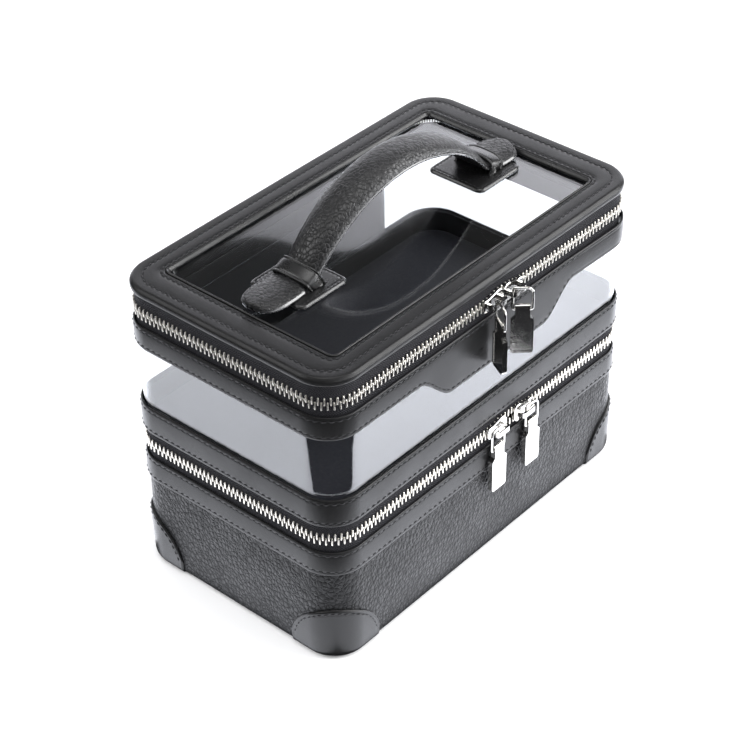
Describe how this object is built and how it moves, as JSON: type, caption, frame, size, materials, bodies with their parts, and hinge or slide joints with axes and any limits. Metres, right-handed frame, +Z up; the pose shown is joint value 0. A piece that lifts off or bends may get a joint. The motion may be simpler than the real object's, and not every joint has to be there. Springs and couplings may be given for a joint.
{
  "type": "cosmetic bag",
  "caption": "Two-tier cosmetic bag: leather base, clear-walled tier and windowed lid with a handle, zipped round on three sides.",
  "frame": {"origin": "centre of the flat underside, on the surface that the bag stands on", "axes": "+X along the bag's length, -Y towards the front with the zip sliders, +Z up"},
  "size_m": [0.24, 0.1544, 0.219],
  "materials": {
    "pebbled_leather": "pebbled grain, satin",
    "smooth_leather": "smooth, satin",
    "stiff_board": "plain",
    "lining_cloth": "fine plain weave",
    "zip_tape": "herringbone weave",
    "zip_teeth": "polished",
    "clear_film": "clear, glossy",
    "bright_metal": "polished"
  },
  "bodies": {
    "base": {"base_shell": "pebbled_leather", "base_board": "stiff_board", "base_lining": "lining_cloth", "base_rim_band": "smooth_leather", "lower_zip_lower_tape": "zip_tape", "lower_zip_lower_teeth": "zip_teeth", "corner_guard_front_left": "pebbled_leather", "corner_guard_front_right": "pebbled_leather", "corner_guard_back_left": "pebbled_leather", "corner_guard_back_right": "pebbled_leather"},
    "tier": {"lower_hinge_strip": "smooth_leather", "lower_zip_upper_tape": "zip_tape", "lower_zip_upper_teeth": "zip_teeth", "tier_floor_cloth": "lining_cloth", "tier_floor_board": "stiff_board", "tier_floor_lining": "lining_cloth", "lower_band": "smooth_leather", "lower_band_strip": "smooth_leather", "clear_wall": "clear_film", "back_panel": "smooth_leather", "upper_band": "smooth_leather", "upper_band_strip": "smooth_leather", "upper_zip_lower_tape": "zip_tape", "upper_zip_lower_teeth": "zip_teeth"},
    "lid": {"upper_hinge_strip": "smooth_leather", "upper_zip_upper_tape": "zip_tape", "upper_zip_upper_teeth": "zip_teeth", "lid_frame": "smooth_leather", "window_film": "clear_film", "window_bead": "smooth_leather", "lid_board": "stiff_board", "lid_lining": "lining_cloth", "handle_strap": "pebbled_leather", "handle_patch_left": "smooth_leather", "handle_patch_right": "smooth_leather", "keeper_left": "smooth_leather", "keeper_right": "smooth_leather"},
    "slider_lower_left": {"slider_lower_left": "bright_metal"},
    "bail_lower_left": {"bail_lower_left": "bright_metal"},
    "pull_lower_left": {"pull_tab_lower_left": "bright_metal"},
    "slider_lower_right": {"slider_lower_right": "bright_metal"},
    "bail_lower_right": {"bail_lower_right": "bright_metal"},
    "pull_lower_right": {"pull_tab_lower_right": "bright_metal"},
    "slider_upper_left": {"slider_upper_left": "bright_metal"},
    "bail_upper_left": {"bail_upper_left": "bright_metal"},
    "pull_upper_left": {"pull_tab_upper_left": "bright_metal"},
    "slider_upper_right": {"slider_upper_right": "bright_metal"},
    "bail_upper_right": {"bail_upper_right": "bright_metal"},
    "pull_upper_right": {"pull_tab_upper_right": "bright_metal"}
  },
  "joints": [
    {"name": "tier_hinge", "type": "hinge", "parent": "base", "child": "tier", "pos_m": [0, 0.0691, 0.0795], "axis": [-1, 0, 0], "range_deg": [0, 90], "deforming": ["lower_hinge_strip"]},
    {"name": "lid_hinge", "type": "hinge", "parent": "tier", "child": "lid", "pos_m": [0, 0.0691, 0.162], "axis": [-1, 0, 0], "range_deg": [0, 100], "deforming": ["upper_hinge_strip"]},
    {"name": "slider_lower_left_slide", "type": "slide", "parent": "base", "child": "slider_lower_left", "axis": [-1, 0, 0], "range_m": [0, 0.098], "deforming": ["lower_zip_lower_teeth", "lower_zip_upper_teeth"]},
    {"name": "bail_lower_left_swivel", "type": "hinge", "parent": "slider_lower_left", "child": "bail_lower_left", "pos_m": [0.0071, -0.0736, 0.0795], "axis": [0, 0, 1], "range_deg": [0, 180]},
    {"name": "pull_lower_left_swing", "type": "hinge", "parent": "bail_lower_left", "child": "pull_lower_left", "pos_m": [0.00205, -0.0736, 0.0695], "axis": [1, 0, 0], "range_deg": [-150, 0]},
    {"name": "slider_lower_right_slide", "type": "slide", "parent": "base", "child": "slider_lower_right", "axis": [1, 0, 0], "range_m": [0, 0.0675], "deforming": ["lower_zip_lower_teeth", "lower_zip_upper_teeth"]},
    {"name": "bail_lower_right_swivel", "type": "hinge", "parent": "slider_lower_right", "child": "bail_lower_right", "pos_m": [0.0251, -0.0736, 0.0795], "axis": [0, 0, 1], "range_deg": [-180, 0]},
    {"name": "pull_lower_right_swing", "type": "hinge", "parent": "bail_lower_right", "child": "pull_lower_right", "pos_m": [0.03015, -0.0736, 0.0695], "axis": [-1, 0, 0], "range_deg": [0, 150]},
    {"name": "slider_upper_left_slide", "type": "slide", "parent": "tier", "child": "slider_upper_left", "axis": [-1, 0, 0], "range_m": [0, 0.0922], "deforming": ["upper_zip_lower_teeth", "upper_zip_upper_teeth"]},
    {"name": "bail_upper_left_swivel", "type": "hinge", "parent": "slider_upper_left", "child": "bail_upper_left", "pos_m": [-0.0021, -0.0736, 0.162], "axis": [0, 0, 1], "range_deg": [-63, 60]},
    {"name": "pull_upper_left_swing", "type": "hinge", "parent": "bail_upper_left", "child": "pull_upper_left", "pos_m": [-0.00439, -0.0781, 0.152], "axis": [0.454, 0.891, 0], "range_deg": [-16, 0]},
    {"name": "slider_upper_right_slide", "type": "slide", "parent": "tier", "child": "slider_upper_right", "axis": [1, 0, 0], "range_m": [0, 0.0793], "deforming": ["upper_zip_lower_teeth", "upper_zip_upper_teeth"]},
    {"name": "bail_upper_right_swivel", "type": "hinge", "parent": "slider_upper_right", "child": "bail_upper_right", "pos_m": [0.0108, -0.0736, 0.162], "axis": [0, 0, 1], "range_deg": [-70, 25]},
    {"name": "pull_upper_right_swing", "type": "hinge", "parent": "bail_upper_right", "child": "pull_upper_right", "pos_m": [0.01424, -0.07729, 0.152], "axis": [-0.682, 0.7314, 0], "range_deg": [0, 12]}
  ]
}
